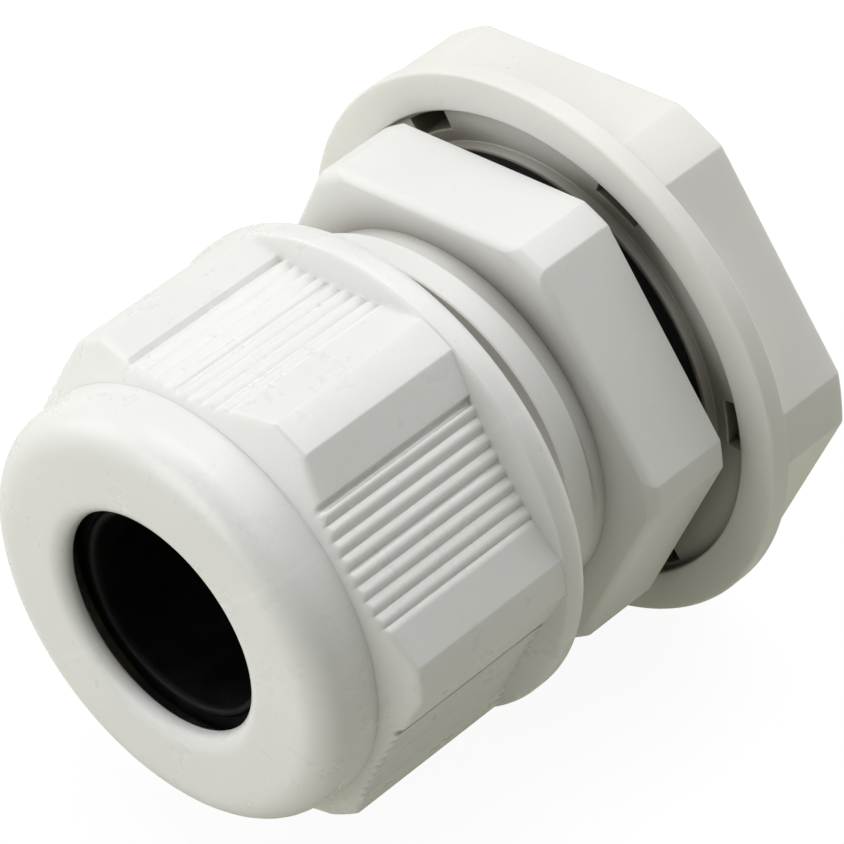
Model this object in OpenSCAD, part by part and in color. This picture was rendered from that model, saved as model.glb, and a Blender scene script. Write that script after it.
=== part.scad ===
// Cable gland lying on its side: dome nut, seal, clamping basket, body, sealing ring, locknut.
// The gland's axis runs along Y. The dome nut faces -Y and the locknut is towards +Y.
// The origin is the centre of the body's sealing face, where the wall of a box would start.

/* [Gland body] */
// Width of the body's hexagon across its flats, in mm
body_across_flats = 24; // [23.8:0.1:25]
// Thickness of the hexagon from its sealing face to where its front bevel starts, in mm
body_hex_depth = 4.45; // [4:0.05:4.6]
// Axial length of the bevel on the hexagon's front edge, in mm
body_bevel = 0.6; // [0.4:0.1:0.6]
// Turn of the body's first hexagon corner from straight up, in degrees
body_turn = 21; // [0:1:59]
// Diameter of the plain hole through the entry end, in mm
entry_bore_d = 15; // [13:0.5:15.5]

/* [Entry thread] */
// Diameter over the crests of the thread that goes through the wall, in mm
entry_thread_d = 19.9; // [19.8:0.05:19.9]
// Length of the threaded end behind the sealing face, in mm
entry_length = 9; // [8.5:0.5:12]

/* [Clamping thread] */
// Diameter over the crests of the coarse thread under the dome nut, in mm
clamp_thread_d = 22.1; // [22:0.05:22.1]
// Diameter of the neck that carries the coarse thread, in mm
neck_d = 20.4; // [20.3:0.05:20.4]

/* [Dome nut] */
// Width of the dome nut's hexagon across its flats, in mm
nut_across_flats = 24; // [23.8:0.1:24.2]
// Overall length of the dome nut, in mm
nut_length = 16.15; // [16.15:0.05:16.5]
// Gap between the dome nut's rim and the body's hexagon, in mm
nut_gap = 4.65; // [4.65:0.05:4.7]
// Diameter of the cable opening in the dome, in mm
opening_d = 12.3; // [12:0.1:12.8]
// Diameter of the round dome in front of the hexagon, in mm
dome_d = 22.9; // [22.6:0.1:23]
// Number of grip ribs on each flat
ribs_per_flat = 8; // [6:1:9]
// Depth of the grip grooves below the flat, in mm
groove_depth = 0.3; // [0.2:0.05:0.35]
// Turn of the nut's first hexagon corner from straight up, in degrees
nut_turn = 22; // [0:1:59]

/* [Seal] */
// Diameter of the hole that grips the cable, in mm
seal_bore_d = 10.8; // [9:0.2:11]
// Length of the rubber seal, in mm
seal_length = 13; // [11:0.5:13.5]

/* [Sealing ring] */
// Outer diameter of the sealing ring on the entry thread, in mm
ring_d = 22.6; // [22:0.1:23]
// Thickness of the sealing ring, in mm
ring_thickness = 1.1; // [1:0.05:1.15]

/* [Locknut] */
// Width of the locknut's hexagon across its flats, in mm
locknut_across_flats = 27.9; // [27.5:0.1:28]
// Diameter of the locknut's round flange, in mm
flange_d = 30.8; // [30.8:0.1:32]
// Overall thickness of the locknut, in mm
locknut_thickness = 5.45; // [5.3:0.05:6]
// Distance from the body's sealing face to the locknut's flange, in mm
locknut_gap = 1.42; // [1.42:0.01:1.5]
// Turn of the locknut's first hexagon corner from straight up, in degrees
locknut_turn = 21; // [0:1:59]

/* [Hidden] */
// Colours: light grey polyamide for the moulded pieces, black for the rubber ones.
nut_grey = [0.80, 0.81, 0.79];
body_grey = [0.79, 0.79, 0.78];
locknut_grey = [0.78, 0.77, 0.74];
rubber_black = [0.03, 0.03, 0.03];

// Number of facets in a full circle: for turned pieces, for rounded edges and for grip ribs.
round_fn = 96;
edge_fn = 48;
rib_fn = 24;
// Facets in one turn of a thread, and how much a faceted circle shrinks at its flats.
thread_steps = 28;
facet_shrink = cos(180 / thread_steps);
// Axial distance between two turns of the entry thread and of the coarse clamping thread.
entry_pitch = 1.5;
clamp_pitch = 3;
// Overlap used where one cut or piece has to pass right through another, and a thin overlap
// that keeps two faces from lying exactly on each other.
through = 1;
sliver = 0.05;
// Size of the blocks that cut the body's hexagon, larger than anything they cut.
block = 20;

// Clearances: radial and axial play between mating threads, and a running gap at rest.
thread_play = 0.15;
running_gap = 0.1;
// A threaded cut starts this many turns ahead of its thread and runs for this many turns.
cut_lead = 4;
cut_turns = 14;
cut_fade = 0.01;

// Stations along the axis. Zero is the sealing face, negative is towards the dome.
hex_front = -body_hex_depth - body_bevel;
nut_rear = hex_front - nut_gap;
nut_front = nut_rear - nut_length;
nut_wall = 1.45;
cavity_front = nut_front + nut_wall;

// Gland body: half width over the flats, and radius of the small flats on its corners.
// A sharp corner would be at 1.155 times the half width.
body_half = body_across_flats / 2;
body_corner_r = body_half * 1.1175;
bevel_lean = 40;

// Dome nut: round dome, hexagon between dome and rim, and the round rim at its rear.
dome_length = 3.47;
rim_length = 1.9;
nut_half = nut_across_flats / 2;
nut_corner_r = nut_half * 1.108;
nut_hex_front = nut_front + dome_length;
nut_hex_rear = nut_rear - rim_length;
rim_r = nut_half * 1.117;
dome_edge_r = 1.85;
front_slope = 1.75;
rim_edge_r = 0.8;
rim_slope_length = 0.45;
rim_slope_top = 0.3;
lip_r = 0.75;

// Grip panels: half width over the outer grooves, distance between two ribs, and rib radius.
grip_half_width = nut_half * 0.285;
rib_pitch = 2 * grip_half_width / (ribs_per_flat + 0.4);
rib_r = rib_pitch * 0.45;

// Hollow of the dome nut: the front room for the fingers, and the cone that closes them.
room_front_r = 8.4;
room_rear_r = 8.9;
room_step = 0.5;
cone_length = 8.7;
nut_thread_length = 8.6;

// Clamping thread. The flight ends on the bearing clamp_end_turn, after clamp_turns turns, and
// its middle is clamp_mark_depth in front of the hexagon on the bearing clamp_mark_turn.
clamp_crest = 1.48;
clamp_base = 2.05;
clamp_crest_r = clamp_thread_d / 2;
neck_r = neck_d / 2;
clamp_end_turn = 100;
clamp_turns = 2;
clamp_mark_turn = 36;
clamp_mark_depth = 2.09;
clamp_start = hex_front - clamp_mark_depth
    + clamp_pitch * ((clamp_end_turn - clamp_mark_turn) / 360 - clamp_turns);
nut_bore_r = neck_r + thread_play;
clamp_flank_play = 2 * thread_play;
groove_extra_width = 0.2;
neck_front = -13.7;

// Basket of clamping fingers on the front of the neck. At rest each finger is bent inwards by
// finger_rest_close, about a rounded root that sits in a groove of the neck's end.
basket_root = -15.3;
basket_tip = -19.6;
finger_count = 16;
finger_inner_r = 7.95;
finger_outer_r = 9.65;
finger_tip_r = 9.0;
finger_tip_edge = 0.5;
finger_shoulder = 2.2;
finger_taper = 0.45;
finger_angle = 360 / finger_count;
finger_slot = 3.6;
finger_rest_close = 2.8;
finger_pivot_r = (finger_inner_r + finger_outer_r) / 2;
finger_barrel_r = (finger_outer_r - finger_inner_r) / 2;
finger_barrel_length = 2.6;
basket_ring_r = 9.8;
basket_bore_r = 8.0;
basket_bore_rear = -6.5;
seat_play = 0.22;

// Rubber seal. Its front face follows just behind the dome's front wall.
seal_front = cavity_front + running_gap;
seal_rear = seal_front + seal_length;
seal_r = 7.3;
seal_bead_r = 0.25;
seal_front_edge = 0.5;
seal_rear_edge = 0.8;
seal_lip = 0.2;

// Entry thread, sealing ring and locknut.
entry_crest_r = entry_thread_d / 2;
entry_root_r = entry_crest_r - 0.9;
entry_base = entry_pitch * 0.72;
entry_crest = entry_pitch * 0.14;
entry_start = 1.6;
entry_end_margin = 0.7;
ring_play = 0.02;
ring_front = locknut_gap - ring_thickness - ring_play;
ring_hole_r = entry_crest_r + thread_play;
ring_edge = 0.2;
locknut_rear = locknut_gap + locknut_thickness;
locknut_half = locknut_across_flats / 2;
flange_r = flange_d / 2;
locknut_corner_r = flange_r - 0.1;
flange_edge_r = 0.2;
flange_thickness = 1.15;
flange_back = 0.25;
rear_edge = 0.25;
recess_r = flange_r - 2.2;
recess_draft = 0.1;
recess_lip = 0.35;
recess_depth = 0.6;
recess_floor = locknut_gap + recess_depth;
boss_r = ring_d / 2 - sliver;
boss_set_back = 0.03;
boss_front = locknut_gap + boss_set_back;
locknut_bore_r = entry_root_r + thread_play;
entry_flank_play = 0.25;
pocket_half_angle = 6.2;
pocket_inner_r = 12.0;
pocket_outer_r = recess_r - 0.15;
pocket_depth = 2.4;
pocket_overlap = 0.3;

// Every separate piece that can be built on its own.

// Turns the drawing axis Z onto the gland's axis Y.
module along_gland() {
    rotate([-90, 0, 0]) children();
}

// A hexagonal prism between two stations, with one corner turned from straight up.
module hex_bar(half_width, from, to, turn) {
    translate([0, 0, from])
        rotate([0, 0, turn - 90])
            cylinder(r = half_width / cos(30), h = to - from, $fn = 6);
}

// A round bar between two stations.
module round_bar(radius, from, to) {
    translate([0, 0, from]) cylinder(r = radius, h = to - from, $fn = round_fn);
}

// How full the flight is after a number of turns: 0 outside the thread, 1 along its middle.
function fullness(progress, turns, fade_in, fade_out) =
    max(0, min(1, progress / fade_in, (turns - progress) / fade_out));

// Radius at one corner of a flight: corners 1 and 2 are on the crest, 0 and 3 on the root.
function corner_radius(corner, root_r, crest_r, full) =
    (corner == 1 || corner == 2) ? root_r + (crest_r - root_r) * full : root_r;

// Station of one corner of a flight, measured from the flight's middle.
function corner_offset(corner, base, crest) =
    [-base / 2, -crest / 2, crest / 2, base / 2][corner];

// A right-hand threaded rod between two stations. The flight's middle passes start_station on
// the bearing start_turn, measured from straight up, and runs for a number of turns from there.
module threaded_rod(from, to, root_r, crest_r, base, crest, pitch, start_station, start_turn,
                    turns, fade_in, fade_out) {
    first = floor((from - base - start_station) / pitch) - 1;
    last = ceil((to + base - start_station) / pitch) + 1;
    corners = 4 * (last - first + 1);
    columns = [for (j = [0:thread_steps - 1])
        [for (m = [first:last], corner = [0:3])
            let (progress = m + j / thread_steps,
                 middle = start_station + pitch * progress,
                 outside = middle - base / 2 >= to || middle + base / 2 <= from,
                 full = outside ? 0 : fullness(progress, turns, fade_in, fade_out),
                 radius = corner_radius(corner, root_r, crest_r, full),
                 station = middle + corner_offset(corner, base, crest),
                 angle = start_turn - 90 + 360 * j / thread_steps)
            [radius * cos(angle), radius * sin(angle), max(from, min(to, station))]]];
    points = concat([for (column = columns) each column], [[0, 0, from], [0, 0, to]]);
    from_centre = thread_steps * corners;
    sides = [for (j = [0:thread_steps - 1], k = [0:corners - 2])
        let (wrap = j == thread_steps - 1,
             here = j * corners,
             next = wrap ? 0 : here + corners,
             shift = wrap ? 4 : 0,
             a = here + k, b = here + k + 1,
             c = next + min(k + shift, corners - 1), d = next + min(k + 1 + shift, corners - 1))
        each [[a, b, c], [b, d, c]]];
    caps = [for (j = [0:thread_steps - 1])
        let (here = j * corners, next = ((j + 1) % thread_steps) * corners)
        each [[from_centre, here, next],
              [from_centre + 1, next + corners - 1, here + corners - 1]]];
    polyhedron(points = points, faces = concat(sides, caps), convexity = 10);
}

// Half-section of the dome: flat front, rounded shoulder and straight side.
module dome_profile() {
    dome_r = dome_d / 2;
    translate([0, nut_front]) square([dome_r - dome_edge_r, nut_wall + dome_edge_r]);
    translate([0, nut_front + dome_edge_r])
        square([dome_r, nut_hex_front - nut_front - dome_edge_r + through]);
    translate([dome_r - dome_edge_r, nut_front + dome_edge_r])
        circle(r = dome_edge_r, $fn = round_fn);
}

// Half-section that rounds off the hexagon's corners and slopes its front end down to the dome.
module nut_hex_limit() {
    foot_r = dome_d / 2 - sliver;
    rotate_extrude($fn = round_fn)
        polygon([
            [0, nut_hex_front], [foot_r, nut_hex_front],
            [nut_corner_r, nut_hex_front + (nut_corner_r - foot_r) / front_slope],
            [nut_corner_r, nut_rear - through], [0, nut_rear - through]
        ]);
}

// Half-section of the nut's round rim, which rises from the flats over a short steep slope.
module nut_rim_profile() {
    rim_start = nut_hex_rear + rim_slope_length;
    polygon([
        [0, nut_hex_rear - sliver], [nut_half - sliver / 2, nut_hex_rear - sliver],
        [rim_r - rim_slope_top, rim_start - rim_slope_top / 3],
        [rim_r, rim_start + rim_slope_top / 2],
        [rim_r, nut_rear - rim_edge_r], [rim_r - rim_edge_r, nut_rear], [0, nut_rear]
    ]);
    translate([rim_r - rim_edge_r, nut_rear - rim_edge_r])
        circle(r = rim_edge_r, $fn = round_fn);
}

// Half-section of the hollow inside the nut, from the cable opening to the rear rim.
module nut_hollow() {
    opening_r = opening_d / 2;
    cone_rear = nut_rear - cone_length;
    rear_r = nut_bore_r - running_gap;
    lip = [for (a = [0:15:90])
        [opening_r + lip_r * (1 - sin(a)), nut_front + lip_r * (1 - cos(a))]];
    rotate_extrude($fn = round_fn)
        polygon(concat(
            [[0, nut_front - through], [opening_r + lip_r, nut_front - through]],
            lip,
            [[opening_r, cavity_front],
             [room_front_r, cavity_front], [room_rear_r, cavity_front + room_step],
             [rear_r, cone_rear], [rear_r, nut_rear + through], [0, nut_rear + through]]
        ));
}

// One grip panel: a shallow pocket in a flat, open to the front and filled with round ribs.
module grip_panel() {
    panel_front = nut_hex_front - through;
    panel_rear = nut_hex_rear - 2 * sliver;
    translate([0, 0, panel_front])
        linear_extrude(height = panel_rear - panel_front)
            difference() {
                translate([nut_half - groove_depth, -grip_half_width])
                    square([groove_depth + through, 2 * grip_half_width]);
                for (i = [0:ribs_per_flat - 1])
                    translate([nut_half - rib_r, (i - (ribs_per_flat - 1) / 2) * rib_pitch])
                        circle(r = rib_r, $fn = rib_fn);
            }
}

// Round-fronted nut that closes the gland on the cable.
module dome_nut() {
    color(nut_grey) along_gland() difference() {
        union() {
            intersection() {
                hex_bar(nut_half, nut_hex_front, nut_rear - through, nut_turn);
                nut_hex_limit();
            }
            rotate_extrude($fn = round_fn) dome_profile();
            rotate_extrude($fn = round_fn) nut_rim_profile();
        }
        nut_hollow();
        for (i = [0:5])
            rotate([0, 0, nut_turn - 90 + 30 + 60 * i]) grip_panel();
        threaded_rod(from = nut_rear - nut_thread_length, to = nut_rear + through,
                     root_r = nut_bore_r / facet_shrink,
                     crest_r = (clamp_crest_r + thread_play) / facet_shrink,
                     base = clamp_base + clamp_flank_play + groove_extra_width,
                     crest = clamp_crest + clamp_flank_play,
                     pitch = clamp_pitch, start_station = clamp_start - cut_lead * clamp_pitch,
                     start_turn = clamp_end_turn, turns = cut_turns,
                     fade_in = cut_fade, fade_out = cut_fade);
    }
}

// Rubber sleeve that the fingers press onto the cable.
module seal_insert() {
    bore_r = seal_bore_d / 2;
    color(rubber_black) along_gland() rotate_extrude($fn = round_fn) {
        polygon([
            [bore_r, seal_front + seal_lip], [bore_r + seal_lip, seal_front],
            [seal_r - seal_front_edge, seal_front], [seal_r, seal_front + seal_front_edge],
            [seal_r, seal_rear - seal_rear_edge], [seal_r - seal_rear_edge, seal_rear],
            [bore_r, seal_rear]
        ]);
        translate([bore_r + seal_bead_r, seal_front + seal_bead_r - sliver])
            circle(r = seal_bead_r, $fn = rib_fn);
    }
}

// One clamping finger: a curved lamella with a rounded root it bends about.
module clamp_finger(index) {
    span = finger_angle - finger_slot;
    color(body_grey) along_gland() rotate([0, 0, (index - 0.5) * finger_angle - 90])
        translate([finger_pivot_r, 0, basket_root]) rotate([0, finger_rest_close, 0])
            translate([-finger_pivot_r, 0, -basket_root]) {
                rotate([0, 0, -span / 2]) rotate_extrude(angle = span, $fn = round_fn)
                    polygon([
                        [finger_inner_r, basket_root], [finger_outer_r, basket_root],
                        [finger_outer_r - finger_taper, basket_root - finger_shoulder],
                        [finger_tip_r, basket_tip + finger_tip_edge],
                        [finger_tip_r - finger_tip_edge, basket_tip],
                        [finger_inner_r, basket_tip]
                    ]);
                translate([finger_pivot_r, -finger_barrel_length / 2, basket_root])
                    rotate([-90, 0, 0])
                        cylinder(r = finger_barrel_r, h = finger_barrel_length,
                                 $fn = edge_fn);
            }
}

// Bevels the front edge of the body's hexagon and its blunted corners, parallel to each edge.
module hex_bevel_cuts() {
    for (i = [0:5]) {
        rotate([0, 0, body_turn - 90 + 30 + 60 * i]) bevel_cut(body_half);
        rotate([0, 0, body_turn - 90 + 60 * i]) bevel_cut(body_corner_r);
    }
}

// A leaning block that removes everything outside one bevel plane.
module bevel_cut(distance) {
    translate([distance, 0, -body_hex_depth])
        rotate([0, bevel_lean, 0])
            translate([0, -block / 2, -block])
                cube([block, block, block]);
}

// Hexagon with blunted corners and a bevelled front edge.
module body_hex() {
    difference() {
        hex_bar(body_half, hex_front, 0, body_turn);
        for (i = [0:5])
            rotate([0, 0, body_turn - 90 + 60 * i])
                translate([body_corner_r, -block / 2, hex_front - through])
                    cube([block, block, body_hex_depth + body_bevel + 2 * through]);
        hex_bevel_cuts();
    }
}

// The moulded body: hexagon, neck with the coarse thread, and the threaded entry end.
module gland_body() {
    color(body_grey) along_gland() difference() {
        union() {
            body_hex();
            round_bar(basket_ring_r, basket_root + seat_play, neck_front + through);
            threaded_rod(from = neck_front, to = hex_front + running_gap, root_r = neck_r,
                         crest_r = clamp_crest_r, base = clamp_base, crest = clamp_crest,
                         pitch = clamp_pitch, start_station = clamp_start,
                         start_turn = clamp_end_turn, turns = clamp_turns,
                         fade_in = 0.15, fade_out = 0.15);
            threaded_rod(from = -through, to = entry_length, root_r = entry_root_r,
                         crest_r = entry_crest_r, base = entry_base, crest = entry_crest,
                         pitch = entry_pitch, start_station = entry_start, start_turn = 0,
                         turns = (entry_length - entry_end_margin - entry_start) / entry_pitch,
                         fade_in = 0.2, fade_out = 0.3);
        }
        round_bar(entry_bore_d / 2, basket_root - through, entry_length + through);
        round_bar(basket_bore_r, basket_root - through, basket_bore_rear);
        rotate_extrude($fn = round_fn)
            translate([finger_pivot_r, basket_root])
                circle(r = finger_barrel_r + seat_play, $fn = edge_fn);
    }
}

// Black ring that seals between the body and the wall.
module sealing_ring() {
    width = ring_d / 2 - ring_hole_r;
    color(rubber_black) along_gland() rotate_extrude($fn = round_fn)
        translate([ring_hole_r, ring_front])
            polygon([
                [0, 0], [width - ring_edge, 0], [width, ring_edge],
                [width, ring_thickness - ring_edge], [width - ring_edge, ring_thickness],
                [0, ring_thickness]
            ]);
}

// Half-section of the locknut's round flange, with a rounded front edge and a steep back.
module locknut_flange_profile() {
    back = locknut_gap + flange_thickness + flange_back;
    polygon([
        [0, locknut_gap], [flange_r - flange_edge_r, locknut_gap],
        [flange_r, locknut_gap + flange_edge_r], [flange_r, locknut_gap + flange_thickness],
        [locknut_half - sliver, back], [0, back]
    ]);
    translate([flange_r - flange_edge_r, locknut_gap + flange_edge_r])
        circle(r = flange_edge_r, $fn = edge_fn);
}

// Half-section of the shallow ring recess in the locknut's front.
module locknut_recess() {
    rotate_extrude($fn = round_fn)
        polygon([
            [boss_r, recess_floor], [recess_r - recess_draft, recess_floor],
            [recess_r, locknut_gap + recess_lip], [recess_r + recess_lip, locknut_gap - sliver],
            [recess_r + recess_lip, locknut_gap - through],
            [0, locknut_gap - through], [0, boss_front], [boss_r, boss_front]
        ]);
}

// Flanged hexagonal nut that clamps the gland to the wall.
module locknut() {
    color(locknut_grey) along_gland() difference() {
        union() {
            intersection() {
                hex_bar(locknut_half, recess_floor, locknut_rear, locknut_turn);
                rotate_extrude($fn = round_fn)
                    polygon([
                        [0, locknut_gap], [locknut_corner_r, locknut_gap],
                        [locknut_corner_r, locknut_rear - rear_edge],
                        [locknut_corner_r - rear_edge, locknut_rear], [0, locknut_rear]
                    ]);
            }
            rotate_extrude($fn = round_fn) locknut_flange_profile();
        }
        locknut_recess();
        for (i = [0:5])
            rotate([0, 0, locknut_turn - 90 + 60 * i - pocket_half_angle])
                rotate_extrude(angle = 2 * pocket_half_angle, $fn = round_fn)
                    translate([pocket_inner_r, recess_floor - pocket_overlap])
                        square([pocket_outer_r - pocket_inner_r, pocket_depth + pocket_overlap]);
        threaded_rod(from = boss_front - through, to = locknut_rear + through,
                     root_r = locknut_bore_r / facet_shrink,
                     crest_r = (entry_crest_r + thread_play) / facet_shrink,
                     base = entry_base + entry_flank_play,
                     crest = entry_crest + entry_flank_play,
                     pitch = entry_pitch, start_station = entry_start - cut_lead * entry_pitch,
                     start_turn = 0, turns = cut_turns,
                     fade_in = cut_fade, fade_out = cut_fade);
    }
}

gland_body();
seal_insert();
dome_nut();
sealing_ring();
locknut();
clamp_finger(1);  // clamp_finger_1
clamp_finger(2);  // clamp_finger_2
clamp_finger(3);  // clamp_finger_3
clamp_finger(4);  // clamp_finger_4
clamp_finger(5);  // clamp_finger_5
clamp_finger(6);  // clamp_finger_6
clamp_finger(7);  // clamp_finger_7
clamp_finger(8);  // clamp_finger_8
clamp_finger(9);  // clamp_finger_9
clamp_finger(10);  // clamp_finger_10
clamp_finger(11);  // clamp_finger_11
clamp_finger(12);  // clamp_finger_12
clamp_finger(13);  // clamp_finger_13
clamp_finger(14);  // clamp_finger_14
clamp_finger(15);  // clamp_finger_15
clamp_finger(16);  // clamp_finger_16
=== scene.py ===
import math

import bmesh
import bpy
import numpy as np
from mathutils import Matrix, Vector


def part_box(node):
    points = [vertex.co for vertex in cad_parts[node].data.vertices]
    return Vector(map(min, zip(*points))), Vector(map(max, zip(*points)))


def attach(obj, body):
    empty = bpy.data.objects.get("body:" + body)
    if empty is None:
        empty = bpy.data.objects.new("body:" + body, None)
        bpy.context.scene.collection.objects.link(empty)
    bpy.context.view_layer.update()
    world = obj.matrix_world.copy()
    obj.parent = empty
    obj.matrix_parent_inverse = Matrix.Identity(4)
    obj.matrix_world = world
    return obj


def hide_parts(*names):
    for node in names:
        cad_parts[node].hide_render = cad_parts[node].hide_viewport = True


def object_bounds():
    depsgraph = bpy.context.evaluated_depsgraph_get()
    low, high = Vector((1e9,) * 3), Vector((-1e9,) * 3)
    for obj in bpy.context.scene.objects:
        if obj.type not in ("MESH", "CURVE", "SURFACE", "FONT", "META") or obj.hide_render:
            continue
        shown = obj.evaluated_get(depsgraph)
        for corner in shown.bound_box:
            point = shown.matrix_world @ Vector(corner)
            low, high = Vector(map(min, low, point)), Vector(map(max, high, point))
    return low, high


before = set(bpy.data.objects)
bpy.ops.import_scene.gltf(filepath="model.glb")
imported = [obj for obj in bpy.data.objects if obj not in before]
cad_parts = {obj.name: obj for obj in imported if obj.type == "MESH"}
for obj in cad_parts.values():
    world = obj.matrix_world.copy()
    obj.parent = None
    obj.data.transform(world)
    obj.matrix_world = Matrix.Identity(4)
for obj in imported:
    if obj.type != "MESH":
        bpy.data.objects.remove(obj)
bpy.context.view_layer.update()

MM = 0.001
TURN = 2 * math.pi

# ---------------------------------------------------------------- sizes, in millimetres
# The gland's axis is Y. Zero is the body's sealing face, and the dome nut is towards -Y.
# A station is a place along the axis. A bearing is an angle about it, in degrees from +Z towards +X.


def extent(node):
    """Lowest and highest station of a CAD node along the gland's axis, and its outer radius."""
    low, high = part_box(node)
    return low.y / MM, high.y / MM, max(high.x, -low.x, high.z, -low.z) / MM


NUT_FRONT, NUT_REAR, NUT_R = extent("dome_nut")
SEAL_FRONT, SEAL_REAR, SEAL_R = extent("seal_insert")
RING_FRONT, RING_REAR, RING_R = extent("sealing_ring")
LOCKNUT_FRONT, LOCKNUT_REAR, FLANGE_R = extent("locknut")
BASKET_ROOT, ENTRY_END = extent("gland_body")[:2]

# Bearing of one corner of each hexagon, and half the width across the flats of the body and the dome nut.
BODY_TURN = 21.0
NUT_TURN = 22.0
LOCKNUT_TURN = 21.0
HEX_HALF = 12.0
FINGERS = 16

# ---------------------------------------------------------------- shape helpers


def smooth_min(a, b, blend):
    """The lower of two values, rounded over where they cross."""
    h = np.clip(0.5 + 0.5 * (b - a) / blend, 0, 1)
    return b + (a - b) * h - blend * h * (1 - h)


def smooth_max(a, b, blend):
    """The higher of two values, rounded over where they cross."""
    return -smooth_min(-a, -b, blend)


def smooth_step(low, high, x):
    """0 below low, 1 above high, and an even S-curve between them."""
    t = np.clip((x - low) / (high - low), 0, 1)
    return t * t * (3 - 2 * t)


def spaced(start, end, step):
    """Even steps from start up to, but not including, end."""
    count = max(1, int(round(abs(end - start) / step)))
    return [start + (end - start) * i / count for i in range(count)]


def outline(corners, step=0.4, closed=True):
    """A profile through (station, radius, fillet radius) corners, rounded there and cut into short steps."""
    arc_step = math.radians(11)
    nearly_straight = 0.01
    too_short = 1e-6
    points = []
    n = len(corners)
    for i, (y, r, fillet) in enumerate(corners):
        here = np.array([y, r], float)
        if not closed and i in (0, n - 1):
            points.append(here)
            continue
        before = np.array(corners[i - 1][:2], float) - here
        after = np.array(corners[(i + 1) % n][:2], float) - here
        a, b = before / np.linalg.norm(before), after / np.linalg.norm(after)
        half = math.acos(float(np.clip(a @ b, -1, 1))) / 2
        if fillet <= 0 or abs(half - math.pi / 2) < nearly_straight:
            points.append(here)
            continue
        reach = fillet / math.tan(half)
        centre = here + (a + b) / np.linalg.norm(a + b) * fillet / math.sin(half)
        first, last = here + a * reach - centre, here + b * reach - centre
        start = math.atan2(first[1], first[0])
        sweep = (math.atan2(last[1], last[0]) - start + math.pi) % TURN - math.pi
        steps = max(2, int(math.ceil(abs(sweep) / arc_step)))
        for k in range(steps + 1):
            angle = start + sweep * k / steps
            points.append(centre + fillet * np.array([math.cos(angle), math.sin(angle)]))
    dense = []
    count = len(points) if closed else len(points) - 1
    for i in range(count):
        p, q = points[i], points[(i + 1) % len(points)]
        length = float(np.linalg.norm(q - p))
        if length < too_short:
            continue
        parts = max(1, int(math.ceil(length / step)))
        dense += [p + (q - p) * k / parts for k in range(parts)]
    if not closed:
        dense.append(points[-1])
    return np.array(dense)


def turned_hex(bearing, turn, half, corner, blend=0.03):
    """Radius of a hexagon whose corners are turned down to a round of radius corner."""
    across = (np.asarray(bearing) - turn) % 60 - 30
    flat = half / np.cos(np.radians(across))
    return smooth_min(flat, corner + 0 * flat, blend)


def edge_columns(turn, inner, outer, fine, coarse, plain):
    """Bearings close together from inner to outer degrees beside each corner, where the edges are.

    Steps are in degrees: fine there, coarse on the corner itself and plain on the flats, if they get any.
    """
    angles = []
    for i in range(6):
        corner = turn + 60 * i
        angles += spaced(corner - outer, corner - inner, fine)
        angles += spaced(corner - inner, corner + inner, coarse)
        angles += spaced(corner + inner, corner + outer, fine)
        if plain:
            angles += spaced(corner + outer, corner + 60 - outer, plain)
    return angles


# ---------------------------------------------------------------- mesh helpers

MERGE_WITHIN = 0.0015 * MM
SHORTEST_EDGE = 0.0005 * MM


def new_piece(name, vertices, faces):
    """A mesh object from vertices in millimetres, with doubled points merged and empty faces removed."""
    mesh = bpy.data.meshes.new(name)
    mesh.from_pydata((np.asarray(vertices) * MM).tolist(), [], faces)
    piece = bpy.data.objects.new(name, mesh)
    bpy.context.scene.collection.objects.link(piece)
    work = bmesh.new()
    work.from_mesh(mesh)
    bmesh.ops.remove_doubles(work, verts=work.verts, dist=MERGE_WITHIN)
    bmesh.ops.dissolve_degenerate(work, edges=work.edges, dist=SHORTEST_EDGE)
    bmesh.ops.recalc_face_normals(work, faces=work.faces)
    work.to_mesh(mesh)
    work.free()
    return piece


def grid_faces(rows, columns):
    """Quads that join a closed loop of rows and a closed loop of columns into a ring-shaped surface."""
    faces = []
    for i in range(rows):
        j = (i + 1) % rows
        for k in range(columns):
            m = (k + 1) % columns
            faces.append((i * columns + k, i * columns + m, j * columns + m, j * columns + k))
    return faces


def ring_piece(name, stations, radii, bearings):
    """A closed ring-shaped surface from stations and radii (rows by columns) at the given bearings."""
    rows, columns = radii.shape
    angle = np.radians(bearings)[None, :]
    points = np.stack([radii * np.sin(angle), stations + 0 * radii, radii * np.cos(angle)], axis=2)
    return new_piece(name, points.reshape(-1, 3), grid_faces(rows, columns))


def revolved(name, profile, count=192):
    """A body of revolution about the gland's axis from a closed profile."""
    bearings = np.arange(count) * 360 / count
    stations = np.repeat(profile[:, :1], count, axis=1)
    radii = np.repeat(profile[:, 1:], count, axis=1)
    return ring_piece(name, stations, radii, bearings)


def helix_rows(flight, pitch, start, turn_at_start, turns, low, high, root, fades, columns):
    """Stations, radii and bearings of a threaded surface that reaches past two planes.

    flight lists the (offset, height) points of its section. It starts at a station and a bearing, and fades
    gives the number of turns over which it rises and falls.
    """
    first = math.floor((low - pitch - start) / pitch) - 1
    last = math.ceil((high + pitch - start) / pitch) + 1
    share_of_turn = np.arange(columns) / columns
    stations, radii = [], []
    for m in range(first, last + 1):
        progress = m + share_of_turn
        full = np.clip(np.minimum(progress / fades[0], (turns - progress) / fades[1]), 0, 1)
        full = full * full * (3 - 2 * full)
        for offset, height in flight:
            stations.append(start + pitch * progress + offset)
            radii.append(root + height * full)
    stations, radii = np.array(stations), np.array(radii)
    return stations, radii, turn_at_start + 360 * share_of_turn


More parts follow.
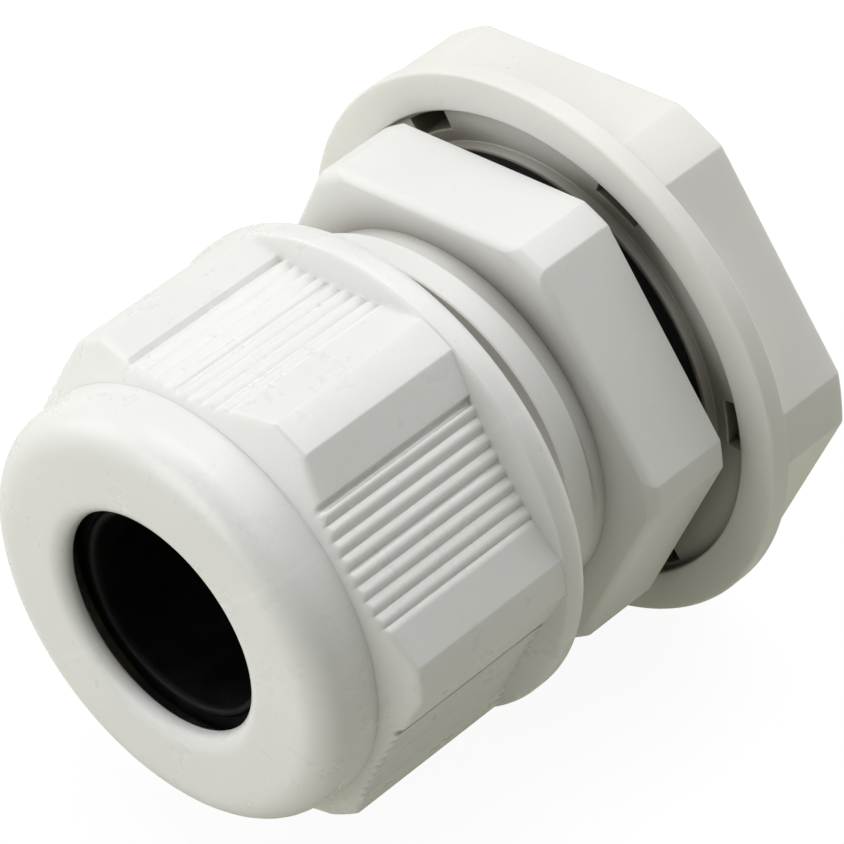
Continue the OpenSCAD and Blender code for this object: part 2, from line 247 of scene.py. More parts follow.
def threaded_tube(name, flight, pitch, start, turn_at_start, turns, low, high, root, bore, fades,
                  columns=144):
    """A tube with a plain bore and a right-hand thread outside, closed at two planes.

    The flight sinks to the root just before each plane, which keeps the surface closed.
    """
    stations, radii, bearings = helix_rows(flight, pitch, start, turn_at_start, turns, low, high, root,
                                           fades, columns)
    rows = len(stations)
    angle = np.radians(bearings)
    run_out = 0.3
    inside = np.clip((stations - low) / run_out, 0, 1) * np.clip((high - stations) / run_out, 0, 1)
    radii = root + (radii - root) * inside
    stations = np.clip(stations, low, high)
    points = np.stack([radii * np.sin(angle), stations, radii * np.cos(angle)], axis=2).reshape(-1, 3)
    bore_x, bore_z = bore * np.sin(angle), bore * np.cos(angle)
    bore_rows = [np.stack([bore_x, 0 * angle + station, bore_z], axis=1) for station in (high, low)]
    points = np.concatenate([points] + bore_rows)
    faces = []
    # At the seam the helix is one pitch further on, so each row joins the one a whole flight later.
    shift = len(flight)
    for i in range(rows - 1):
        for k in range(columns):
            if k < columns - 1:
                faces.append((i * columns + k, i * columns + k + 1,
                              (i + 1) * columns + k + 1, (i + 1) * columns + k))
            else:
                a = min(i + shift, rows - 1) * columns
                b = min(i + 1 + shift, rows - 1) * columns
                faces.append((i * columns + k, a, b, (i + 1) * columns + k))
    top, bottom, last = rows * columns, (rows + 1) * columns, (rows - 1) * columns
    for k in range(columns):
        m = (k + 1) % columns
        faces.append((last + k, last + m, top + m, top + k))
        faces.append((top + k, top + m, bottom + m, bottom + k))
        faces.append((bottom + k, bottom + m, m, k))
    faces = [tuple(dict.fromkeys(f)) for f in faces]
    return new_piece(name, points, [f for f in faces if len(f) > 2])


def combine(target, tool, operation):
    """Adds a closed solid to another, or cuts it away, and removes the tool."""
    step = target.modifiers.new(operation, "BOOLEAN")
    step.object = tool
    step.operation = operation
    step.solver = "MANIFOLD"
    depsgraph = bpy.context.evaluated_depsgraph_get()
    mesh = bpy.data.meshes.new_from_object(target.evaluated_get(depsgraph), depsgraph=depsgraph)
    target.modifiers.clear()
    old = target.data
    target.data = mesh
    mesh.name = target.name
    bpy.data.meshes.remove(old)
    bpy.data.objects.remove(tool)


def shade(piece, angle=28):
    """Smooth shading, kept crisp where faces meet at more than the given angle."""
    for face in piece.data.polygons:
        face.use_smooth = True
    work = bmesh.new()
    work.from_mesh(piece.data)
    limit = math.radians(angle)
    for edge in work.edges:
        edge.smooth = not (len(edge.link_faces) == 2 and edge.calc_face_angle(0) > limit)
    work.to_mesh(piece.data)
    work.free()


def finish_piece(piece, body, material):
    """Gives a piece its material and slot, and lets it stand for and ride the CAD body of that name."""
    piece.data.materials.clear()
    piece.data.materials.append(material)
    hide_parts(body)
    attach(piece, body)


# ---------------------------------------------------------------- materials

# Sockets of a colour Mix node, which has others of the same name for its other data types.
SHARE, COLOUR_A, COLOUR_B, COLOUR_OUT = 0, 6, 7, 2

# Noise scales, in features per metre.
CLOUD_SCALE = 140.0
WAVE_SCALE = 260.0
SMEAR_SCALE = 420.0
BLOOM_SCALE = 700.0
SPECK_SCALE = 2600.0
RUBBER_GRAIN_SCALE = 7000.0
NYLON_GRAIN_SCALE = 9000.0

# Painted shade in gaps and recesses: how far the ambient occlusion test reaches, and the brownish tint it
# darkens the colour towards.
PAINTED_SHADE_REACH = 3.2 * MM
PAINTED_SHADE_TINT = (0.30, 0.265, 0.21, 1)


class Nodes:
    """A short way to write a node tree: add a node, set its values, link its sockets."""

    def __init__(self, name):
        self.material = bpy.data.materials.new(name)
        self.material.use_nodes = True
        self.tree = self.material.node_tree
        self.tree.nodes.clear()

    def add(self, kind, **values):
        node = self.tree.nodes.new(kind)
        for key, value in values.items():
            if key in node.inputs:
                node.inputs[key].default_value = value
            else:
                setattr(node, key, value)
        return node

    def link(self, source, output, target, entry):
        self.tree.links.new(source.outputs[output], target.inputs[entry])


def noise(nodes, place, scale, detail, roughness=0.5):
    """A noise texture in the piece's own coordinates."""
    node = nodes.add("ShaderNodeTexNoise", Scale=scale, Detail=detail, Roughness=roughness)
    nodes.link(place, "Object", node, "Vector")
    return node


def span(nodes, source, output, low, high, to_low, to_high):
    """Maps a value that runs from low to high onto to_low to to_high, clamped at both ends."""
    node = nodes.add("ShaderNodeMapRange")
    nodes.link(source, output, node, "Value")
    for key, value in (("From Min", low), ("From Max", high), ("To Min", to_low), ("To Max", to_high)):
        node.inputs[key].default_value = value
    return node


def crevice_shade(nodes, plain):
    """Darkens a colour in gaps and recesses, which the lamps alone leave lighter than in the photograph."""
    opening = nodes.add("ShaderNodeAmbientOcclusion", samples=6, Distance=PAINTED_SHADE_REACH)
    shaded = nodes.add("ShaderNodeMix", data_type="RGBA", blend_type="MULTIPLY")
    nodes.link(span(nodes, opening, "AO", 0.16, 0.62, 1.0, 0.0), "Result", shaded, SHARE)
    nodes.link(plain, COLOUR_OUT, shaded, COLOUR_A)
    shaded.inputs[COLOUR_B].default_value = PAINTED_SHADE_TINT
    return shaded


def surface(nodes):
    """A Principled shader wired to the material's output."""
    output = nodes.add("ShaderNodeOutputMaterial")
    shader = nodes.add("ShaderNodeBsdfPrincipled")
    nodes.link(shader, "BSDF", output, "Surface")
    return shader


def moulded_nylon(name, colour, shade_colour, roughness, scuffs):
    """Light grey moulded polyamide with colour clouds, fine grain, flow waves, scuffs, worn edges and painted
    shade in its gaps and recesses.
    """
    n = Nodes(name)
    place = n.add("ShaderNodeTexCoord")
    shader = surface(n)

    clouds = noise(n, place, CLOUD_SCALE, 3.0)
    tint = n.add("ShaderNodeMix", data_type="RGBA")
    tint.inputs[COLOUR_A].default_value = (*colour, 1)
    tint.inputs[COLOUR_B].default_value = (*shade_colour, 1)
    n.link(span(n, clouds, "Fac", 0.35, 0.68, 0, 1), "Result", tint, SHARE)

    specks = noise(n, place, SPECK_SCALE, 2.0)
    speck_darkness = 0.72
    dusty = n.add("ShaderNodeMix", data_type="RGBA")
    n.link(tint, COLOUR_OUT, dusty, COLOUR_A)
    dusty.inputs[COLOUR_B].default_value = tuple(speck_darkness * c for c in shade_colour) + (1,)
    n.link(span(n, specks, "Fac", 0.70, 0.78, 0, 0.30), "Result", dusty, SHARE)

    edges = n.add("ShaderNodeNewGeometry")
    wear_brightness = 1.06
    rubbed = n.add("ShaderNodeMix", data_type="RGBA")
    n.link(dusty, COLOUR_OUT, rubbed, COLOUR_A)
    rubbed.inputs[COLOUR_B].default_value = tuple(min(1.0, wear_brightness * c) for c in colour) + (1,)
    n.link(span(n, edges, "Pointiness", 0.52, 0.60, 0, 0.35), "Result", rubbed, SHARE)
    # Painted shade: the colour is darkened in gaps and recesses, where the lamps alone leave too much light.
    n.link(crevice_shade(n, rubbed), COLOUR_OUT, shader, "Base Color")

    smears = noise(n, place, SMEAR_SCALE, 5.0, 0.62)
    gloss = span(n, smears, "Fac", 0.3, 0.7, roughness - 0.06, roughness + 0.08)
    n.link(gloss, "Result", shader, "Roughness")

    grain = noise(n, place, NYLON_GRAIN_SCALE, 3.0)
    waves = noise(n, place, WAVE_SCALE, 2.0)
    scratch_place = n.add("ShaderNodeMapping", Scale=(60.0, 900.0, 700.0), Rotation=(0.3, 0.5, 0.9))
    n.link(place, "Object", scratch_place, "Vector")
    scratches = n.add("ShaderNodeTexNoise", Scale=3.0, Detail=2.0)
    n.link(scratch_place, "Vector", scratches, "Vector")
    marks = span(n, scratches, "Fac", 0.70, 0.76, 0, scuffs)

    grain_bump = n.add("ShaderNodeBump", Strength=0.12, Distance=0.02 * MM)
    n.link(grain, "Fac", grain_bump, "Height")
    wave_bump = n.add("ShaderNodeBump", Strength=0.25, Distance=0.06 * MM)
    n.link(waves, "Fac", wave_bump, "Height")
    n.link(grain_bump, "Normal", wave_bump, "Normal")
    mark_bump = n.add("ShaderNodeBump", Strength=0.5, Distance=0.03 * MM, invert=True)
    n.link(marks, "Result", mark_bump, "Height")
    n.link(wave_bump, "Normal", mark_bump, "Normal")
    n.link(mark_bump, "Normal", shader, "Normal")

    shader.inputs["IOR"].default_value = 1.50
    shader.inputs["Subsurface Weight"].default_value = 0.25
    shader.inputs["Subsurface Radius"].default_value = (1.0, 0.95, 0.85)
    shader.inputs["Subsurface Scale"].default_value = 0.8 * MM
    return n.material


def black_rubber(name, roughness):
    """Black rubber: near-black, slightly blotchy, with a fine moulded grain and a dusty bloom."""
    n = Nodes(name)
    place = n.add("ShaderNodeTexCoord")
    shader = surface(n)
    bloom = noise(n, place, BLOOM_SCALE, 5.0, 0.6)
    tint = n.add("ShaderNodeMix", data_type="RGBA")
    tint.inputs[COLOUR_A].default_value = (0.0015, 0.0015, 0.0016, 1)
    tint.inputs[COLOUR_B].default_value = (0.0045, 0.0045, 0.0048, 1)
    n.link(span(n, bloom, "Fac", 0.4, 0.7, 0, 1), "Result", tint, SHARE)
    n.link(tint, COLOUR_OUT, shader, "Base Color")
    gloss = span(n, bloom, "Fac", 0.3, 0.7, roughness - 0.08, roughness + 0.1)
    n.link(gloss, "Result", shader, "Roughness")
    grain = noise(n, place, RUBBER_GRAIN_SCALE, 4.0)
    bump = n.add("ShaderNodeBump", Strength=0.35, Distance=0.03 * MM)
    n.link(grain, "Fac", bump, "Height")
    n.link(bump, "Normal", shader, "Normal")
    shader.inputs["IOR"].default_value = 1.52
    shader.inputs["Specular IOR Level"].default_value = 0.16
    return n.material


# ---------------------------------------------------------------- threads

# The neck's coarse thread. One flight of it shows in front of the body's hexagon, at this bearing and gap.
HEX_FRONT = -5.05
FLIGHT_GAP = 2.09
FLIGHT_BEARING = 36
CLAMP_PITCH = 3.0
CLAMP_TURNS = 2
CLAMP_END_TURN = 100.0
CLAMP_START = HEX_FRONT - FLIGHT_GAP + CLAMP_PITCH * ((CLAMP_END_TURN - FLIGHT_BEARING) / 360 - CLAMP_TURNS)

# The thread of the entry end, which starts just behind the sealing face.
ENTRY_PITCH = 1.5
ENTRY_START = 1.6

# The flights of the tools that cut the nuts' threads run on past the tools' own ends, so they need no fading.
TAP_BORE_R = 6.0
TAP_SPARE = 1.0
SHARP_ENDS = (0.01, 0.01)
NUT_TAP_TURNS = 12.0
NUT_TAP_DEPTH = 9.0
NUT_TAP_ROOT_R = 10.30
LOCKNUT_TAP_TURNS = 14.0
LOCKNUT_TAP_ROOT_R = 9.15


def trapezoid_flight(base, crest, height, soft=0.14):
    """A thread flight's section with a rounded crest and filleted roots, as (offset, height) pairs."""
    half_base, half_crest = base / 2, crest / 2
    side = [
        (half_base + soft, 0.0),
        (half_base + soft * 0.35, height * 0.02),
        (half_base - soft * 0.2, height * 0.14),
        (half_crest + (half_base - half_crest) * 0.30, height * 0.72),
        (half_crest + soft * 0.25, height * 0.90),
        (half_crest - soft * 0.3, height * 0.975),
        (half_crest - soft, height),
    ]
    left = [(-offset, level) for offset, level in side]
    return left + [(0.0, height)] + side[::-1]


# ---------------------------------------------------------------- dome nut

DOME_R = 11.42
DOME_END = -22.36
SHOULDER_R = 1.85
OPENING_R = 6.15
LIP_DEPTH = 0.75
LIP_WIDTH = 0.9
WALL = 0.92
THROAT_R = 8.4
NUT_BORE_R = 10.35

# The hexagon's corners are turned down to a round, and its front edge slopes up from the dome.
NUT_CORNER = 13.30
FRONT_EDGE = -22.38
FRONT_SLOPE = 1.75
FRONT_EDGE_END = -21.0

# The rim behind the grip panels, which slopes up to its full radius.
RIM_R = 13.38
RIM_FOOT_R = 12.03
RIM_FOOT = -11.82
RIM_SLOPE = 2.9
RIM_RISE_FROM = -12.2
RIM_RISE_TO = -11.2

# The grip ribs of one flat, and the wider grooves among them as (place in ribs, width in ribs, depth).
RIBS = 8
RIB_PITCH = 0.815
PANEL_OFFSET = 0.05
GROOVES = ((-RIBS / 2, 0.26, 0.27), (0, 0.20, 0.17), (RIBS / 2, 0.16, 0.07))


def nut_columns():
    """Bearings round the nut: many across each grip rib, a few on the plain faces."""
    angles = edge_columns(NUT_TURN, 4.1, 4.9, 0.16, 1.4, None)
    plain_step = 1.5
    flat_end = 25.1
    panel_from, panel_to = -17, 17.5
    panel_step = (panel_to - panel_from) / 90
    for i in range(6):
        flat = NUT_TURN + 30 + 60 * i
        angles += spaced(flat - flat_end, flat + panel_from, plain_step)
        angles += spaced(flat + panel_from, flat + panel_to, panel_step)
        angles += spaced(flat + panel_to, flat + flat_end, plain_step)
    return np.array(sorted(a % 360 for a in angles))


def rib_depth(across):
    """How far the grip panel lies below the flat, at a distance across it in millimetres."""
    place = (across - PANEL_OFFSET) / RIB_PITCH
    nearest = np.floor(place) + 0.5
    beside = np.abs(place - nearest) / 0.5
    arched = 0.12 * (1 - np.sqrt(np.clip(1 - 0.96 * beside ** 2, 0, 1)))
    waved = 0.045 * (1 - np.cos(np.pi * beside))
    half = RIBS / 2
    margin = 0.45
    depth = np.where(np.abs(place) < half, arched + waved, 0) + 0 * across
    for middle, width, deep in GROOVES:
        depth = np.maximum(depth, deep * np.exp(-(np.abs(place - middle) / width) ** 4))
    return depth * (np.abs(place) < half + margin)


def nut_outer_radius(station, bearing):
    """Outer radius of the dome nut behind its round dome: hexagon, grips and rear rim."""
    across = HEX_HALF * np.tan(np.radians((bearing - NUT_TURN) % 60 - 30))
    radius = turned_hex(bearing, NUT_TURN, HEX_HALF, NUT_CORNER)
    # The depth of the ribs wanders a little across each flat, and not in the same way on every flat.
    wander = 0.03 * np.sin(across * 2.1 + np.floor((bearing - NUT_TURN) / 60) * 2.0)
    radius = radius - rib_depth(across) * (1 + wander)
    front_blend, rim_blend, foot_blend, dome_blend = 0.34, 0.22, 0.03, 0.04
    clear_of_corners = 14.5
    front = min(DOME_R + FRONT_SLOPE * (station - FRONT_EDGE), clear_of_corners)
    radius = smooth_min(radius, front + 0 * radius, front_blend)
    rim = smooth_min(RIM_FOOT_R + RIM_SLOPE * (station - RIM_FOOT), RIM_R, rim_blend)
    return smooth_max(smooth_max(radius, rim + 0 * radius, foot_blend), DOME_R + 0 * radius, dome_blend)


def dome_nut():
    """Round-fronted clamping nut, from the cable opening over the dome to the rear rim and back inside.

    The front and the rear profile both leave out the throat's corner, where they meet.
    """
    wall = NUT_FRONT + WALL
    # The lip is a quarter of an ellipse, from the opening's side to the dome's front.
    lip = [(NUT_FRONT + LIP_DEPTH * (1 - math.cos(a)), OPENING_R + LIP_WIDTH * (1 - math.sin(a)), 0.0)
           for a in np.radians(np.arange(90, -1, -7.5))]
    front = outline([
        (wall, THROAT_R, 0.3), (wall, OPENING_R, 0.12), *lip,
        (NUT_FRONT, DOME_R, SHOULDER_R), (DOME_END, DOME_R, 0.0),
    ], step=0.5, closed=False)
    fine_step = 0.045
    stations = spaced(DOME_END + 0.02, FRONT_EDGE_END, fine_step) + spaced(FRONT_EDGE_END, RIM_RISE_FROM, 0.9)
    stations += spaced(RIM_RISE_FROM, RIM_RISE_TO, fine_step)
    rim = outline([
        (RIM_RISE_TO, NUT_R, 0), (NUT_REAR, NUT_R, 0.8), (NUT_REAR, NUT_BORE_R, 0.25),
        (wall + 1.0, NUT_BORE_R, 0.6), (wall, THROAT_R, 0.3),
    ], step=0.6, closed=False)
    bearings = nut_columns()
    rows_y, rows_r = [], []
    for y, r in front[1:]:
        rows_y.append(y)
        rows_r.append(np.full(len(bearings), r))
    for y in stations:
        rows_y.append(y)
        rows_r.append(nut_outer_radius(y, bearings))
    for y, r in rim[:-1]:
        rows_y.append(y)
        rows_r.append(np.full(len(bearings), r))
    nut = ring_piece("dome_nut_shell", np.array(rows_y)[:, None], np.array(rows_r), bearings)
    tap = threaded_tube("nut_tap", trapezoid_flight(2.55, 1.78, 0.90), CLAMP_PITCH,
                        CLAMP_START - 4 * CLAMP_PITCH, CLAMP_END_TURN, NUT_TAP_TURNS,
                        NUT_REAR - NUT_TAP_DEPTH, NUT_REAR + TAP_SPARE,
                        NUT_TAP_ROOT_R, TAP_BORE_R, SHARP_ENDS)
    combine(nut, tap, "DIFFERENCE")
    return nut


# ---------------------------------------------------------------- body


HEX_CORNER = 13.41
NECK_FRONT = -13.7
NECK_INSIDE_HEX = -2.5
NECK_ROOT_R = 10.2
NECK_BORE_R = 8.0
ENTRY_INSIDE_HEX = -3.2
ENTRY_PLAIN_END = 0.7
ENTRY_ROOT_R = 9.05
ENTRY_BORE_R = 7.5

# The basket ring behind the fingers, with an arc-shaped seat round the line where their rounded roots turn.
BASKET_REAR = -12.5
BASKET_R = 9.8
BASKET_BORE_R = 8.02
SEAT_EDGE_R = 9.76
PIVOT_R = 8.8
ROOT_R = 0.82
SEAT_R = 1.05


def body_hexagon():
    """The body's hexagon with blunted corners, a soft round front edge and a crisper rear one."""
    bearings = np.array(sorted(a % 360 for a in edge_columns(BODY_TURN, 2.6, 6.6, 0.25, 1.3, 1.3)))
    # The ring's inner side is hidden inside the walls of the neck and the entry end.
    inner = 8.6
    depth = 0.62
    flat_inset, corner_inset = 0.36, 0.62
    face_margin = 0.08
    face_step = 0.012
    first_swing = 16
    first_sine, first_cosine = math.sin(math.radians(first_swing)), math.cos(math.radians(first_swing))
    rows_y, rows_r = [], []
    for share in (0.0, 0.35, 0.7, 0.93):
        rows_y.append(HEX_FRONT)
        rows_r.append(inner + (HEX_HALF - flat_inset - face_margin - inner) * share + 0 * bearings)
    for t in np.linspace(0, 1, 15):
        swing = math.radians(first_swing + (90 - first_swing) * t)
        rise = 1 - (1 - math.sin(swing)) / (1 - first_sine)
        run = 1 - math.cos(swing) / first_cosine
        rows_y.append(HEX_FRONT + face_step + depth * run)
        rows_r.append(turned_hex(bearings, BODY_TURN, HEX_HALF - flat_inset * (1 - rise),
                                 HEX_CORNER - corner_inset * (1 - rise)))
    full = turned_hex(bearings, BODY_TURN, HEX_HALF, HEX_CORNER)
    edge = 0.04
    plain_step = 0.8
    for y in spaced(HEX_FRONT + depth + 0.15, -edge, plain_step):
        rows_y.append(y)
        rows_r.append(full)
    for k in range(6):
        angle = math.pi / 2 * k / 5
        rows_y.append(-edge + edge * math.sin(angle))
        rows_r.append(full - edge * (1 - math.cos(angle)))
    for share in (0.9, 0.6, 0.3, 0.0):
        rows_y.append(0.0)
        rows_r.append(inner + (full - edge - inner) * share)
    return ring_piece("body_hexagon", np.array(rows_y)[:, None], np.array(rows_r), bearings)


def gland_body():
    """The moulded body: hexagon, neck with its coarse thread, basket ring and threaded entry end."""
    body = body_hexagon()
    neck = threaded_tube("neck", trapezoid_flight(2.05, 1.48, 0.85), CLAMP_PITCH, CLAMP_START,
                         CLAMP_END_TURN, CLAMP_TURNS, NECK_FRONT, NECK_INSIDE_HEX,
                         NECK_ROOT_R, NECK_BORE_R, (0.10, 0.22))
    combine(body, neck, "UNION")
    entry_turns = (ENTRY_END - ENTRY_PLAIN_END - ENTRY_START) / ENTRY_PITCH
    entry = threaded_tube("entry", trapezoid_flight(1.08, 0.21, 0.9, 0.10), ENTRY_PITCH, ENTRY_START,
                          0.0, entry_turns, ENTRY_INSIDE_HEX, ENTRY_END,
                          ENTRY_ROOT_R, ENTRY_BORE_R, (0.2, 0.3))
    combine(body, entry, "UNION")
    seat = [(BASKET_ROOT + math.sqrt(SEAT_R ** 2 - (r - PIVOT_R) ** 2), r, 0)
            for r in np.linspace(SEAT_EDGE_R, BASKET_BORE_R, 11)]
    basket = revolved("basket", outline([
        (BASKET_REAR, BASKET_BORE_R, 0), (BASKET_REAR, BASKET_R, 0), (BASKET_ROOT + 0.5, BASKET_R, 0), *seat,
    ], step=0.6))
    combine(body, basket, "UNION")
    body.name = "gland_body_moulding"
    return body


def clamp_finger(index):
    """One springy finger of the basket: a curved lamella, thinner at its tip, with a rounded root."""
    bore, outer, tip = 7.95, 9.65, -19.6
    root = [(BASKET_ROOT + ROOT_R * math.sin(a), PIVOT_R - ROOT_R * math.cos(a), 0)
            for a in np.radians(np.arange(15, 166, 15))]
    profile = outline([
        *root, (BASKET_ROOT, outer, 0.2),
        (BASKET_ROOT - 2.2, 9.2, 0.8), (tip + 0.5, 9.0, 0.3), (tip, 8.5, 0.3), (tip, bore, 0.12),
        (BASKET_ROOT, bore, 0.2),
    ], step=0.5)
    # At rest the finger leans inwards by this much. The lean also skews it, by less than 0.1 mm.
    close = math.radians(2.8)
    pivot = np.array([BASKET_ROOT, PIVOT_R])
    turned = profile - pivot
    y = pivot[0] + turned[:, 0] * math.cos(close) + turned[:, 1] * math.sin(close)
    r = pivot[1] + turned[:, 0] * math.sin(close) + turned[:, 1] * math.cos(close)
    share = 360 / FINGERS
    gap = 3.6
    half = (share - gap) / 2
    middle = (index - 0.5) * share
    bearings = np.linspace(middle - half, middle + half, 11)
    columns = []
    for bearing in bearings:
        angle = math.radians(bearing)
        columns.append(np.stack([r * math.sin(angle), y, r * math.cos(angle)], axis=1))
    count = len(profile)
    points = np.concatenate(columns)
    faces = []
    for i in range(len(bearings) - 1):
        for k in range(count):
            m = (k + 1) % count
            faces.append((i * count + k, i * count + m, (i + 1) * count + m, (i + 1) * count + k))
    faces.append(tuple(range(count)))
    faces.append(tuple(range((len(bearings) - 1) * count, len(bearings) * count))[::-1])
    finger = new_piece(f"clamp_finger_{index}_lamella", points, faces)
    bevel = finger.modifiers.new("soft edges", "BEVEL")
    bevel.width = 0.12 * MM
    bevel.segments = 2
    bevel.limit_method = "ANGLE"
    bevel.angle_limit = math.radians(60)
    return finger


# ---------------------------------------------------------------- rubber parts


def seal_insert():
    """The rubber sleeve, with a thin bead round the front of its bore."""
    bore = 5.4
    face = SEAL_FRONT + 0.18
    return revolved("seal_insert_rubber", outline([
        (SEAL_FRONT + 0.30, bore, 0.12), (SEAL_FRONT + 0.12, bore + 0.06, 0.05),
        (SEAL_FRONT, bore + 0.16, 0.06), (SEAL_FRONT, bore + 0.34, 0.08),
        (face, bore + 0.50, 0.1), (face, SEAL_R - 0.5, 0.2),
        (SEAL_FRONT + 0.8, SEAL_R, 0.2), (SEAL_REAR - 0.8, SEAL_R, 0.3),
        (SEAL_REAR, SEAL_R - 0.8, 0.3), (SEAL_REAR, bore, 0.2),
    ], step=0.7), 160)


def sealing_ring():
    """The flat rubber ring between the body's sealing face and the locknut."""
    bore = 10.1
    return revolved("sealing_ring_rubber", outline([
        (RING_FRONT, bore, 0.2), (RING_REAR, bore, 0.2),
        (RING_REAR, RING_R, 0.35), (RING_FRONT, RING_R, 0.35),
    ]))


# ---------------------------------------------------------------- locknut


LOCK_HALF = 13.95
LOCK_CORNER = FLANGE_R - 0.08
LOCK_BORE_R = 9.2

# The flange's back starts to slope at this distance behind its front, and the hexagon grows out of it.
FLANGE_EDGE = 1.15
FLANGE_BACK = 1.16
FLANGE_BACK_SLOPE = 7.0
RECESS_DEPTH = 0.6
POCKET_HALF_ANGLE = 6.15
POCKET_SOFT_ANGLE = 0.2

# Sections of a pocket's wall and floor, as (radius, depth below the recess's floor).
POCKET = ((11.6, 0), (11.9, 0), (11.97, 0.05), (12.02, 1.0), (12.05, 2.3), (12.15, 2.4),
          (12.5, 2.4), (12.85, 2.4), (12.95, 2.3), (12.99, 1.0), (13.02, 0.05), (13.04, 0.0))


def locknut_blank():
    """Flange, recess with its six pockets and hexagon of the locknut, around a plain bore."""
    bearings = np.array(sorted(a % 360 for a in edge_columns(LOCKNUT_TURN, 4.5, 6.6, 0.17, 0.9, 1.3)))
    front, rear = LOCKNUT_FRONT, LOCKNUT_REAR
    floor = front + RECESS_DEPTH
    beside = np.abs((bearings - LOCKNUT_TURN + 30) % 60 - 30)
    window = 1 - smooth_step(POCKET_HALF_ANGLE - POCKET_SOFT_ANGLE, POCKET_HALF_ANGLE + POCKET_SOFT_ANGLE,
                             beside)
    rows_y, rows_r = [], []

    def row(y, r):
        rows_y.append(np.zeros(len(bearings)) + y)
        rows_r.append(np.zeros(len(bearings)) + r)

    # The chamfered mouth of the bore, the boss's front face and its side down to the recess's floor.
    boss_face = front + 0.03
    for y, r in ((front + 0.25, LOCK_BORE_R), (boss_face, LOCK_BORE_R + 0.2), (boss_face, 10.6),
                 (boss_face, 11.10), (front + 0.08, 11.20), (floor - 0.05, 11.25), (floor, 11.32)):
        row(y, r)
    for r, depth in POCKET:
        row(floor + depth * window, r)
    rim = outline([
        (floor, 12.9, 0), (floor, 13.2, 0.12), (front, 13.22, 0.16), (front, FLANGE_R, 0.17),
        (front + FLANGE_EDGE, FLANGE_R, 0.10), (front + 1.3, 14.75, 0),
    ], step=0.35, closed=False)
    # The first two points repeat the recess's floor, and the slope behind the flange replaces the last one.
    for y, r in rim[2:-1]:
        row(y, r)
    hexagon = turned_hex(bearings, LOCKNUT_TURN, LOCK_HALF, LOCK_CORNER)
    for y in spaced(front + 1.18, front + 1.5, 0.04):
        back = FLANGE_R - FLANGE_BACK_SLOPE * (y - front - FLANGE_BACK)
        row(y, smooth_max(hexagon, back + 0 * hexagon, 0.04))
    for y in spaced(front + 1.6, rear - 0.4, 0.6):
        row(y, hexagon)
    edge = 0.25
    for k in range(5):
        angle = math.pi / 2 * k / 4
        row(rear - edge + edge * math.sin(angle), hexagon - edge * (1 - math.cos(angle)))
    chamfer = 0.5
    inner = LOCK_BORE_R + chamfer
    for share in (0.85, 0.5, 0.2, 0.0):
        row(rear, inner + (hexagon - edge - inner) * share)
    row(rear - chamfer, LOCK_BORE_R)
    for y in spaced(rear - 1.2, front + 0.8, 1.0):
        row(y, LOCK_BORE_R)
    return ring_piece("locknut_blank", np.array(rows_y), np.array(rows_r), bearings)


def locknut():
    """The locknut, with its thread cut in step with the entry thread."""
    nut = locknut_blank()
    tap = threaded_tube("locknut_tap", trapezoid_flight(1.33, 0.46, 0.95, 0.08), ENTRY_PITCH,
                        ENTRY_START - 4 * ENTRY_PITCH, 0.0, LOCKNUT_TAP_TURNS,
                        LOCKNUT_FRONT - TAP_SPARE, LOCKNUT_REAR + TAP_SPARE,
                        LOCKNUT_TAP_ROOT_R, TAP_BORE_R, SHARP_ENDS)
    combine(nut, tap, "DIFFERENCE")
    nut.name = "locknut_moulding"
    return nut


# ---------------------------------------------------------------- build the pieces

# Each nylon has a main colour, a second one in its clouds, a roughness and the strength of its scuffs.
nut_nylon = moulded_nylon("nut nylon", (0.800, 0.800, 0.785), (0.775, 0.775, 0.755), 0.30, 0.6)
body_nylon = moulded_nylon("body nylon", (0.790, 0.788, 0.770), (0.765, 0.762, 0.742), 0.42, 0.4)
locknut_nylon = moulded_nylon("locknut nylon", (0.790, 0.780, 0.745), (0.765, 0.752, 0.715), 0.42, 0.4)
seal_black = black_rubber("seal rubber", 0.55)
ring_black = black_rubber("ring rubber", 0.55)

nut = dome_nut()
shade(nut)
finish_piece(nut, "dome_nut", nut_nylon)

body = gland_body()
shade(body)
finish_piece(body, "gland_body", body_nylon)

for index in range(1, FINGERS + 1):
    finger = clamp_finger(index)
    shade(finger, 40)
    finish_piece(finger, f"clamp_finger_{index}", body_nylon)

seal = seal_insert()
shade(seal, 50)
finish_piece(seal, "seal_insert", seal_black)

ring = sealing_ring()
shade(ring, 60)
finish_piece(ring, "sealing_ring", ring_black)

lock = locknut()
shade(lock)
finish_piece(lock, "locknut", locknut_nylon)

# ---------------------------------------------------------------- floor, light and camera


# Metres and watts. Each lamp is (name, height, heading, size, share of the power): height is in degrees above
# the gland's level, and heading in degrees round the gland from -Y towards +X.
FLOOR_HALF = 4.0
LAMP_DISTANCE = 0.60
LAMP_POWER = 3.6
LAMP_AIM = (0, -0.008, 0)
LAMPS = (
    ("low_front", 15, 345, 0.35, 0.35),
    ("low_left", 15, 300, 0.35, 0.20),
    ("low_back", 15, 180, 0.30, 0.05),
    ("mid_left", 40, 325, 0.45, 0.15),
    ("mid_back", 40, 190, 0.50, 0.35),
    ("high_right", 70, 90, 0.45, 0.15),
    ("high_back", 70, 180, 0.45, 0.35),
    ("high_left", 70, 270, 0.45, 0.40),
)

# Where the camera stands, in millimetres, how it is aimed, in degrees, and its lens and sensor (millimetres).
CAMERA_PLACE = (132.688, -149.582, 181.744)
CAMERA_DOWN = 42.932
CAMERA_HEADING = 42.956
CAMERA_LENS = 231.3
CAMERA_SENSOR = 36


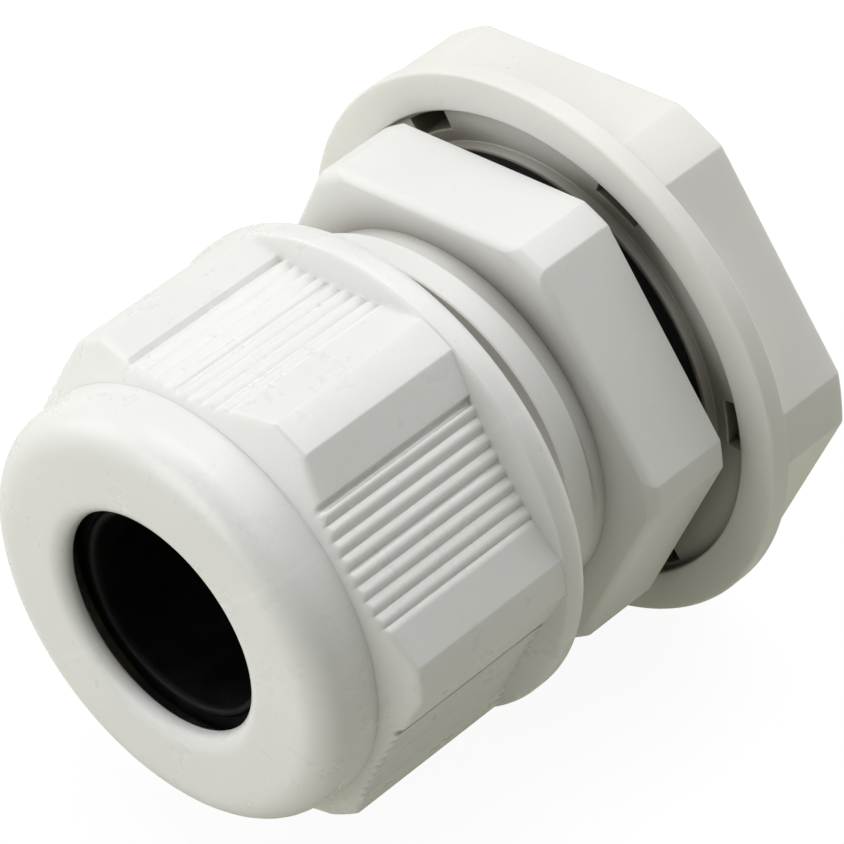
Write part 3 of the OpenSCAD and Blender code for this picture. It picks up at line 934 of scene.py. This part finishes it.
def add_floor():
    """A wide floor at the gland's lowest point: almost white to the camera, mid grey to the gland."""
    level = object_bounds()[0].z
    corners = [(x * FLOOR_HALF, y * FLOOR_HALF, level) for x, y in ((-1, -1), (1, -1), (1, 1), (-1, 1))]
    mesh = bpy.data.meshes.new("floor")
    mesh.from_pydata(corners, [], [(0, 1, 2, 3)])
    floor = bpy.data.objects.new("floor", mesh)
    bpy.context.scene.collection.objects.link(floor)
    n = Nodes("pale floor")
    output = n.add("ShaderNodeOutputMaterial")
    path = n.add("ShaderNodeLightPath")

    def painted(paint, glow, strength):
        """Matt paint that also gives off light."""
        matt = n.add("ShaderNodeBsdfDiffuse", Color=(*paint, 1))
        light = n.add("ShaderNodeEmission", Color=(*glow, 1), Strength=strength)
        both = n.add("ShaderNodeAddShader")
        n.link(matt, "BSDF", both, 0)
        n.link(light, "Emission", both, 1)
        return both

    seen_by_gland = painted((0.50, 0.50, 0.44), (1.0, 1.0, 0.80), 0.14)
    seen_by_camera = painted((0.10, 0.10, 0.10), (1.0, 1.0, 1.0), 0.93)
    mix = n.add("ShaderNodeMixShader")
    n.link(path, "Is Camera Ray", mix, 0)
    n.link(seen_by_gland, "Shader", mix, 1)
    n.link(seen_by_camera, "Shader", mix, 2)
    n.link(mix, "Shader", output, "Surface")
    mesh.materials.append(n.material)


def add_lamp(name, height, heading, size, share):
    """A square soft lamp on a dome round the gland, aimed at its middle."""
    light = bpy.data.lights.new(name, "AREA")
    light.shape = "RECTANGLE"
    light.size = size
    light.size_y = size
    light.energy = LAMP_POWER * share
    tilt, turn = math.radians(height), math.radians(heading)
    reach = LAMP_DISTANCE * math.cos(tilt)
    lamp = bpy.data.objects.new(name, light)
    lamp.location = (reach * math.sin(turn), -reach * math.cos(turn), LAMP_DISTANCE * math.sin(tilt))
    lamp.rotation_euler = (Vector(LAMP_AIM) - lamp.location).to_track_quat("-Z", "Y").to_euler()
    bpy.context.scene.collection.objects.link(lamp)


def add_world():
    """A pale backdrop for the camera only, so that the lamps and the floor are what lights the gland."""
    world = bpy.data.worlds.new("studio")
    world.use_nodes = True
    tree = world.node_tree
    path = tree.nodes.new("ShaderNodeLightPath")
    backdrop = tree.nodes["Background"]
    backdrop.inputs["Color"].default_value = (0.97, 0.97, 0.97, 1)
    tree.links.new(path.outputs["Is Camera Ray"], backdrop.inputs["Strength"])
    bpy.context.scene.world = world


def add_camera():
    """The view of the photograph: a long lens from the front right, above the gland."""
    camera = bpy.data.cameras.new("camera")
    camera.sensor_width = CAMERA_SENSOR
    camera.lens = CAMERA_LENS
    camera.clip_start = 0.01
    camera.clip_end = 20
    seen = bpy.data.objects.new("camera", camera)
    seen.location = [distance * MM for distance in CAMERA_PLACE]
    seen.rotation_euler = (math.radians(90 - CAMERA_DOWN), 0, math.radians(CAMERA_HEADING))
    bpy.context.scene.collection.objects.link(seen)
    bpy.context.scene.camera = seen


add_floor()
add_world()
for lamp in LAMPS:
    add_lamp(*lamp)
add_camera()
bpy.context.scene.view_settings.view_transform = "Standard"
